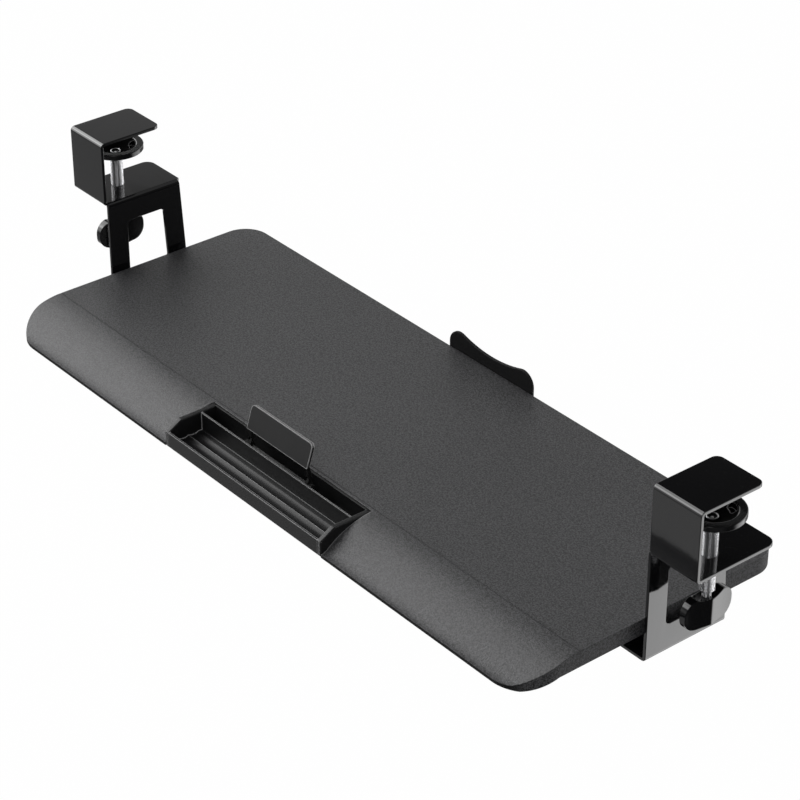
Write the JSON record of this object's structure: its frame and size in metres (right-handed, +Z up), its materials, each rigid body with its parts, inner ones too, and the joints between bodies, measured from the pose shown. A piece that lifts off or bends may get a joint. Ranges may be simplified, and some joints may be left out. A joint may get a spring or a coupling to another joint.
{
  "type": "keyboard tray under desk",
  "caption": "Keyboard tray that hangs under a desk edge on screw clamps and slides out on ball rails, with a sloping front, a pen tray with a tilting phone rest and a rear stop.",
  "frame": {"origin": "middle of the desk's front edge, on the desk's upper face: the upper jaws' underside lies at Z = 0 and the webs' inner face 2.2 mm in front of the desk's edge", "axes": "+X to the user's right along the tray, +Y away from the user under the desk, +Z up"},
  "size_m": [0.8262, 0.2742, 0.1641],
  "materials": {
    "tray_film": "matte charcoal film with a fine grain over a board",
    "pen_plastic": "satin black moulded plastic",
    "stop_plastic": "matte black moulded plastic",
    "black_steel": "gloss black powder coat on bent sheet steel",
    "gloss_black": "gloss black moulded plastic",
    "chrome_rod": "bright plated steel",
    "bright_steel": "plain bright steel",
    "rail_zinc": "zinc-plated steel"
  },
  "bodies": {
    "brackets": {"left_clamp_bracket": "black_steel", "right_clamp_bracket": "black_steel", "left_thread_bush": "black_steel", "right_thread_bush": "black_steel", "left_fixed_rail": "rail_zinc", "right_fixed_rail": "rail_zinc", "left_rail_rivets": "bright_steel", "right_rail_rivets": "bright_steel"},
    "tray": {"tray_board": "tray_film", "pen_tray": "pen_plastic", "pen_tray_screws": "bright_steel", "flap_pin": "black_steel", "rear_stop": "stop_plastic", "rear_stop_screws": "bright_steel", "left_moving_rail": "rail_zinc", "right_moving_rail": "rail_zinc", "left_rail_screws": "bright_steel", "right_rail_screws": "bright_steel"},
    "phone_rest": {"phone_flap": "pen_plastic"},
    "left_cage": {"left_ball_cage": "rail_zinc", "left_rail_balls": "bright_steel"},
    "left_pad": {"left_pressure_pad": "gloss_black"},
    "left_screw": {"left_clamp_screw": "chrome_rod", "left_swivel_stud": "chrome_rod", "left_wing_knob": "gloss_black"},
    "right_cage": {"right_ball_cage": "rail_zinc", "right_rail_balls": "bright_steel"},
    "right_pad": {"right_pressure_pad": "gloss_black"},
    "right_screw": {"right_clamp_screw": "chrome_rod", "right_swivel_stud": "chrome_rod", "right_wing_knob": "gloss_black"}
  },
  "joints": [
    {"name": "tray_slide", "type": "slide", "parent": "brackets", "child": "tray", "axis": [0, 1, 0], "range_m": [-0.09, 0.08]},
    {"name": "phone_rest_tilt", "type": "hinge", "parent": "tray", "child": "phone_rest", "pos_m": [0, -0.078, -0.13], "axis": [-1, 0, 0], "range_deg": [-30, 32]},
    {"name": "left_cage_slide", "type": "slide", "parent": "brackets", "child": "left_cage", "axis": [0, 1, 0], "range_m": [-0.0451, 0.0401]},
    {"name": "left_pad_lift", "type": "slide", "parent": "brackets", "child": "left_pad", "axis": [0, 0, 1], "range_m": [-0.025, 0.0114]},
    {"name": "left_screw_turn", "type": "hinge", "parent": "left_pad", "child": "left_screw", "pos_m": [-0.3871, 0.0285, -0.06], "axis": [0, 0, 1], "range_deg": [-4510, 2062]},
    {"name": "right_cage_slide", "type": "slide", "parent": "brackets", "child": "right_cage", "axis": [0, 1, 0], "range_m": [-0.0451, 0.0401]},
    {"name": "right_pad_lift", "type": "slide", "parent": "brackets", "child": "right_pad", "axis": [0, 0, 1], "range_m": [-0.025, 0.0114]},
    {"name": "right_screw_turn", "type": "hinge", "parent": "right_pad", "child": "right_screw", "pos_m": [0.3871, 0.0285, -0.06], "axis": [0, 0, 1], "range_deg": [-4510, 2062]}
  ],
  "couplings": [
    {"joint": "left_cage_slide", "follows": "tray_slide", "ratio": 0.5},
    {"joint": "left_screw_turn", "follows": "left_pad_lift", "rad_per_m": 3141.6},
    {"joint": "right_cage_slide", "follows": "tray_slide", "ratio": 0.5},
    {"joint": "right_screw_turn", "follows": "right_pad_lift", "rad_per_m": 3141.6}
  ]
}
